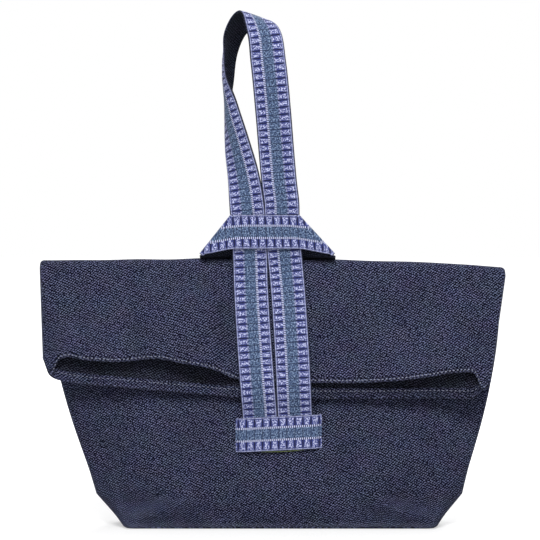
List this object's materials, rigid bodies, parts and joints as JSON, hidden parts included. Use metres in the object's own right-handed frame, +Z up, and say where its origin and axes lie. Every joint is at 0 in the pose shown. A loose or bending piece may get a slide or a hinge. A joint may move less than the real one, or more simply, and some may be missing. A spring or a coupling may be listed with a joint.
{
  "type": "fold-over bento bag",
  "caption": "Soft denim lunch bag with a boxed base, its top folded down at the front and held by a long ribbon strap that runs through a short keeper loop and ends in a carrying loop.",
  "frame": {"origin": "on the floor, in the middle of the underside of the base panel", "axes": "+Z up, -Y towards the front where the flap hangs, +X to the right as seen from the front"},
  "size_m": [0.424, 0.0767, 0.4691],
  "materials": {
    "denim": "dark navy denim twill with pale flecks",
    "denim_inside": "turned-in denim edges",
    "ribbon": "woven ribbon with rows of triangles in lavender, navy and slate",
    "strap_lining": "near-black denim backing"
  },
  "bodies": {
    "bag": {"base_panel": "denim", "front_panel": "denim", "back_panel": "denim", "left_side_seam": "denim_inside", "right_side_seam": "denim_inside", "left_tail_ribbon": "ribbon", "left_tail_backing": "strap_lining", "right_tail_ribbon": "ribbon", "right_tail_backing": "strap_lining", "left_neck_ribbon": "ribbon", "left_neck_backing": "strap_lining", "right_neck_ribbon": "ribbon", "right_neck_backing": "strap_lining", "front_patch": "ribbon", "back_patch": "ribbon", "keeper_band_ribbon": "ribbon", "keeper_band_backing": "strap_lining", "left_leg_ribbon": "ribbon", "left_leg_backing": "strap_lining", "right_leg_ribbon": "ribbon", "right_leg_backing": "strap_lining"},
    "flap": {"flap_outer": "denim", "flap_inner": "denim", "outer_hem": "denim_inside", "inner_hem": "denim_inside", "flap_left_seam": "denim_inside", "flap_right_seam": "denim_inside", "left_strip_ribbon": "ribbon", "left_strip_backing": "strap_lining", "right_strip_ribbon": "ribbon", "right_strip_backing": "strap_lining"},
    "carry_loop": {"loop_ribbon": "ribbon", "loop_backing": "strap_lining"}
  },
  "joints": [
    {"name": "flap_lift", "type": "hinge", "parent": "bag", "child": "flap", "pos_m": [-0.007, -0.0053, 0.2307], "axis": [-1, 0, 0], "range_deg": [0, 40], "deforming": ["left_tail_ribbon", "left_tail_backing", "right_tail_ribbon", "right_tail_backing"]},
    {"name": "loop_swing", "type": "hinge", "parent": "bag", "child": "carry_loop", "pos_m": [-0.01426, -0.01928, 0.2858], "axis": [1, 0, 0], "range_deg": [-90, 90]}
  ]
}
